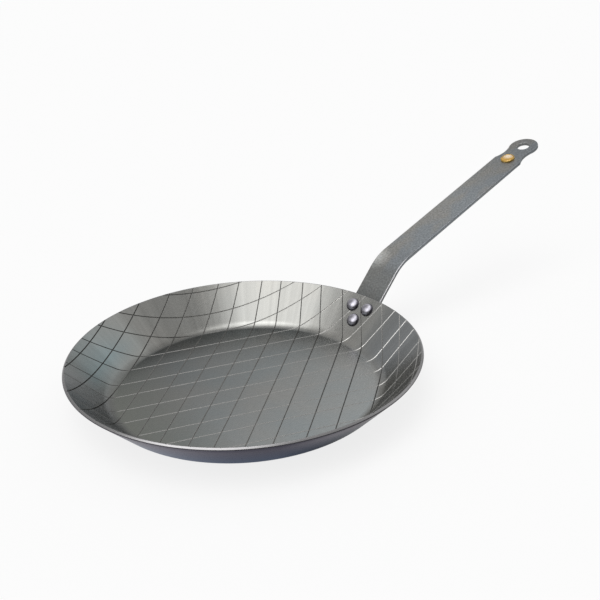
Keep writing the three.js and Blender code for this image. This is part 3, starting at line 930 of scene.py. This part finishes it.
def wall_tint(surface, stock, cloud, up_bend):
    """Warm grey: a blued patch on the left, a cool right, painted shade on the front left, and painted
    light and shade around the wall and low on the bend.
    """
    tint = surface.ramp(cloud, [(0.35, (0.313, 0.315, 0.301)), (0.65, (0.333, 0.328, 0.309))])
    from_patch = surface.distance(stock, BLUED_CENTRE)
    up_wall = surface.mapped(surface.distance(stock), 0, 1, FLOOR_RADIUS, BLANK_RADIUS)
    blued_band = surface.ramp(up_wall, toned([(0.1, 0.15), (0.42, 1), (0.8, 0.62)]))
    blued = surface.product(surface.mapped(from_patch, 1, 0, 0.3 * BLUED_SIZE, BLUED_SIZE), blued_band)
    tint = surface.towards(tint, (0.268, 0.326, 0.336), blued)
    bearing = surface.bearing(stock)
    right = surface.mapped(surface.along(bearing, COOL_WALL), 0, 1, 0.93, 0.99)
    tint = surface.towards(tint, (0.312, 0.324, 0.330), surface.product(right, up_bend))
    # Painted shade on the front left, darker low on the bend and lighter higher up
    front_left = surface.mapped(surface.along(bearing, SHADED_WALL), 0, 1, 0.85, 0.985)
    shaded = surface.ramp(up_bend, [(0.45, (0.215, 0.22, 0.215)), (0.9, (0.405, 0.422, 0.438))])
    tint = surface.towards(tint, shaded, front_left)
    # Painted light and shade: brightness that changes around the wall
    around = surface.mapped(surface.along(bearing, PAINTED_LIGHT_WALL), 0, 1, -1, 1)
    painted_light = surface.ramp(around, toned([(0.18, 1), (0.33, 1.1), (0.5, 0.89), (0.67, 1.06), (0.8, 1)]))
    tint = surface.times(tint, painted_light)
    # Painted highlight low on the bend towards one side, and painted shade there towards another
    low = surface.mapped(up_bend, 1, 0, 0.5, 1)
    bright_bend = surface.mapped(surface.along(bearing, BRIGHT_BEND), 0, 1, 0.92, 0.99)
    tint = surface.times(tint, surface.mapped(surface.product(bright_bend, low), 1, 1.37, 0, 1))
    dark_bend = surface.mapped(surface.along(bearing, DARK_BEND), 0, 1, 0.96, 0.995)
    tint = surface.times(tint, surface.mapped(surface.product(dark_bend, low), 1, 0.72, 0, 1))
    streaks = surface.noise(bearing, 9, 4)
    tint = surface.times(tint, surface.mapped(streaks, 0.88, 1.12))
    scratches = surface.noise(bearing, 55, 3)
    return surface.times(tint, surface.mapped(scratches, 0.955, 1.045))


def first_groove_tint(surface, right_side, up_bend):
    """Cut metal, with painted light on the right, painted shade towards the left, and painted shade on the
    bend.
    """
    # Painted light and shade: lighter towards the right, darker towards the left
    floor_levels = [(0.15, 0.17), (0.35, 0.26), (0.5, 0.295), (0.75, 0.35), (0.9, 0.43)]
    wall_levels = [(0.15, 0.15), (0.3, 0.20), (0.5, 0.30), (0.75, 0.6), (0.82, 0.85), (0.9, 0.62)]
    on_floor = surface.ramp(right_side, toned(floor_levels, WARM_GREY))
    on_wall = surface.ramp(right_side, toned(wall_levels, WARM_GREY))
    tint = surface.towards(on_floor, on_wall, up_bend)
    return surface.times(tint, surface.ramp(up_bend, toned([(0, 1), (0.4, 0.7), (1, 1)])))


def second_groove_tint(surface, right_side, up_bend):
    """Painted shade in the grooves, except at the far right."""
    left_levels = [(0.15, 0.18), (0.35, 0.25), (0.5, 0.29), (0.84, 0.17)]
    right_levels = [(0.88, 0.24), (0.92, 0.38), (0.97, 0.55)]
    tint = surface.ramp(right_side, toned(left_levels + right_levels, WARM_GREY))
    return surface.times(tint, surface.mapped(up_bend, 1.4, 1, 0, 1))


def outside_tints(surface, stock):
    """Dark blue-grey, partly painted shade, warmer near the rim, with painted light there at the front
    right.

    Returns the colour seen straight on, and the one at a flat angle.
    """
    # Painted light and shade: lighter towards one side of the outside and darker towards the other, also in
    # the flat-angle colour
    left_side = surface.mapped(surface.along(stock, LIGHT_OUTSIDE), 0, 1, -BLANK_RADIUS, BLANK_RADIUS)
    near_rim = surface.mapped(surface.distance(stock), 0, 1, BEND_END, EDGE_DISTANCE)
    front_right = surface.ramp(left_side, toned([(0.1, 0), (0.2, 1), (0.36, 1), (0.5, 0)]))
    upward = surface.mapped(near_rim, 0.6, 1.45, 0.1, 0.85)
    warmth_stops = [(0, (0.97, 1, 1.03)), (0.8, (1.07, 1, 0.95)), (1, (0.92, 0.86, 0.82))]
    warmth = surface.ramp(near_rim, warmth_stops)
    scale = surface.towards(warmth, surface.times(warmth, upward), front_right)
    colour_stops = [
        (0.12, (0.062, 0.063, 0.069)),
        (0.27, (0.042, 0.043, 0.049)),
        (0.5, (0.062, 0.064, 0.079)),
        (0.65, (0.075, 0.077, 0.096)),
        (0.8, (0.112, 0.113, 0.135)),
    ]
    flat_stops = [
        (0.12, (0.45, 0.458, 0.476)),
        (0.27, (0.335, 0.347, 0.378)),
        (0.5, (0.44, 0.466, 0.537)),
        (0.76, (0.54, 0.572, 0.659)),
    ]
    colour = surface.tinted(surface.ramp(left_side, colour_stops), scale)
    return colour, surface.tinted(surface.ramp(left_side, flat_stops), scale)


def pan_steel():
    """Bare satin carbon steel inside, a brighter cut edge, a dark blue-grey outside; painted light and
    shade on both.
    """
    surface = Surface("pan_steel", 1)
    stock = surface.stock()
    first_set, second_set, outer = surface.finish()
    cloud = surface.noise(stock, 16, 3)
    grain = surface.noise(surface.stretched(stock, (250, 1800, 1), 0.3), 1, 3)
    up_bend = surface.mapped(surface.distance(stock), 0, 1, FLOOR_RADIUS, BEND_END)
    floor = floor_tint(surface, stock, cloud)
    wall = wall_tint(surface, stock, cloud, up_bend)
    tint = surface.towards(floor, wall, surface.mapped(up_bend, 0, 1, 0, 0.4))
    tint = surface.times(tint, surface.mapped(grain, 0.92, 1.08))
    right_side = surface.mapped(surface.along(stock, BRIGHT_GROOVES), 0, 1, -BLANK_RADIUS, BLANK_RADIUS)
    tint = surface.towards(tint, first_groove_tint(surface, right_side, up_bend), first_set)
    tint = surface.towards(tint, second_groove_tint(surface, right_side, up_bend), second_set)
    tint = surface.towards(tint, (0.36, 0.355, 0.36), surface.mapped(outer, 0, 1, 0, 0.5))
    outside, flat_angle = outside_tints(surface, stock)
    is_outside = surface.mapped(outer, 0, 1, 0.5, 1)
    is_inside = surface.mapped(outer, 1, 0, 0.5, 1)
    surface.colour(surface.towards(tint, outside, is_outside))
    surface.edge_tint(surface.towards(flat_angle, (0.68, 0.68, 0.68), is_inside))
    surface.roughness(surface.mapped(grain, 0.23, 0.31))
    surface.bump(grain, 0.05, 0.0002)
    return surface.material


def handle_steel():
    """Matte strip steel, mottled blue and brown, painted lighter where it is held and with painted
    highlights at the bend.
    """
    surface = Surface("handle_steel", 1)
    stock = surface.stock()
    lean, _, _ = surface.finish()
    along_bar = surface.along(stock, TO_EYE)
    half = HANDLE_WIDTH / 2
    cloud = surface.noise(surface.stretched(stock, (28, 60, 1)), 1, 4)
    grain = surface.noise(stock, 620, 3)
    cool_side = surface.mapped(surface.along(stock, TO_LEFT), 0.1, -0.1, -half, half)
    mottle = surface.plus(cloud, cool_side)
    tint = surface.ramp(mottle, [(0.40, (0.290, 0.287, 0.275)), (0.60, (0.258, 0.277, 0.292))])
    on_lower_bar = surface.mapped(along_bar, 0.8, 0, -0.5 * TANGENT, TANGENT)
    tint = surface.towards(tint, (0.270, 0.277, 0.270), on_lower_bar)
    # Painted shade next to the rim
    above_rim = surface.mapped(along_bar, 0.76, 1, RIM_PLACE, RIM_PLACE + 0.35 * LOWER_BAR)
    tint = surface.times(tint, above_rim)
    tip = EYE_PLACE + EYE_RADIUS
    length = surface.mapped(along_bar, 0, 1, TAB_END, tip)
    at_bend = -TAB_END / (tip - TAB_END)
    # Painted light along the bar: darker on the lower bar, lighter along the grip, a little darker at the
    # tip
    painted_light_along = [(at_bend, 0.8), (at_bend + 0.1, 1.14), (0.62, 1.2), (0.8, 1.02), (1, 0.9)]
    tint = surface.times(tint, surface.ramp(length, toned(painted_light_along)))
    # Painted highlight on the left of the bend
    from_highlight = surface.distance(stock, (ARC_LENGTH / 2, half))
    tint = surface.times(tint, surface.mapped(from_highlight, 2.1, 1, 0, half))
    tint = surface.times(tint, surface.mapped(grain, 0.72, 1.28))
    # Painted highlight on the rounded edges, and painted shade on the side faces
    edge = surface.ramp(lean, [(0.2, (1, 1, 1)), (0.6, (1.5, 1.5, 1.5)), (0.95, (0.75, 0.75, 0.78))])
    tint = surface.times(tint, edge)
    # Painted highlight: a pale line on the right rounded edge, from the bend down the lower bar
    below_bend = surface.mapped(along_bar, 1, 0, 0.5 * ARC_LENGTH, ARC_LENGTH)
    on_right = surface.mapped(surface.along(stock, TO_RIGHT), 0, 1, 0, half)
    rounding = surface.ramp(lean, toned([(0.2, 0), (0.5, 1), (0.93, 1), (1, 0)]))
    shine = surface.product(surface.product(below_bend, on_right), rounding)
    surface.colour(surface.towards(tint, (0.95, 0.94, 0.97), shine))
    surface.roughness(surface.mapped(grain, 0.44, 0.56))
    surface.bump(grain, 0.15, 0.0003)
    return surface.material


def rivet_steel():
    """Polished steel with faint marks, a painted highlight, and a painted dark line of shade round the edge
    of the head.
    """
    surface = Surface("rivet_steel", 1)
    stock = surface.stock()
    marks = surface.noise(stock, 500, 3)
    out = surface.mapped(surface.distance(stock), 0, 1, 0, RIVET_HEAD / 2)
    tint = surface.ramp(marks, [(0.3, (0.40, 0.39, 0.44)), (0.7, (0.48, 0.47, 0.52))])
    # Painted highlight round a spot off the middle of the head, and painted light again far from it
    from_spot = surface.mapped(surface.distance(stock, HIGHLIGHT_SPOT), 0, 1, 0, 0.75 * RIVET_HEAD)
    painted_light = [(0.08, 1.6), (0.4, 0.78), (0.55, 0.8), (0.85, 1.8)]
    tint = surface.times(tint, surface.ramp(from_spot, toned(painted_light)))
    # Painted shade: a dark line round the edge of the head
    surface.colour(surface.towards(tint, (0.13, 0.125, 0.15), surface.mapped(out, 0, 1, 0.8, 0.97)))
    surface.roughness(surface.mapped(marks, 0.28, 0.36))
    return surface.material


def badge_brass():
    """Golden brass, darkened in patches."""
    surface = Surface("badge_brass", 1)
    patches = surface.noise(surface.stock(), 700, 3)
    surface.colour(surface.ramp(patches, [(0.3, (0.66, 0.42, 0.11)), (0.7, (0.86, 0.58, 0.17))]))
    surface.roughness(surface.mapped(patches, 0.22, 0.36))
    return surface.material


def badge_amber():
    """Clear-coated amber resin with a cloudy depth, paler towards the eye of the handle."""
    surface = Surface("badge_amber", 0)
    stock = surface.stock()
    cloud = surface.noise(stock, 260, 2)
    tint = surface.ramp(cloud, [(0.3, (0.54, 0.28, 0.01)), (0.7, (0.68, 0.38, 0.03))])
    pale = surface.mapped(surface.distance(stock, PALE_SPOT), 1, 0, 0.14 * BADGE, 0.44 * BADGE)
    surface.colour(surface.towards(tint, (0.98, 0.80, 0.58), pale))
    surface.roughness(surface.mapped(cloud, 0.2, 0.3))
    surface.shader.inputs["Coat Weight"].default_value = 1
    surface.shader.inputs["Coat Roughness"].default_value = 0.05
    return surface.material


# Scene

bpy.context.scene.view_settings.view_transform = "Standard"
add_camera()
add_world()
add_floor()

add_pan(pan_steel())
add_handle(handle_steel())
rivet_material = rivet_steel()
add_rivet("rivet_left", "rivet_upper_left", UPPER_RIVET_DEPTH, RIVET_SPREAD, rivet_material)
add_rivet("rivet_right", "rivet_upper_right", UPPER_RIVET_DEPTH, -RIVET_SPREAD, rivet_material)
add_rivet("rivet_low", "rivet_lower", LOWER_RIVET_DEPTH, 0, rivet_material)
add_badge_cup(badge_brass())
add_badge_dome(badge_amber())
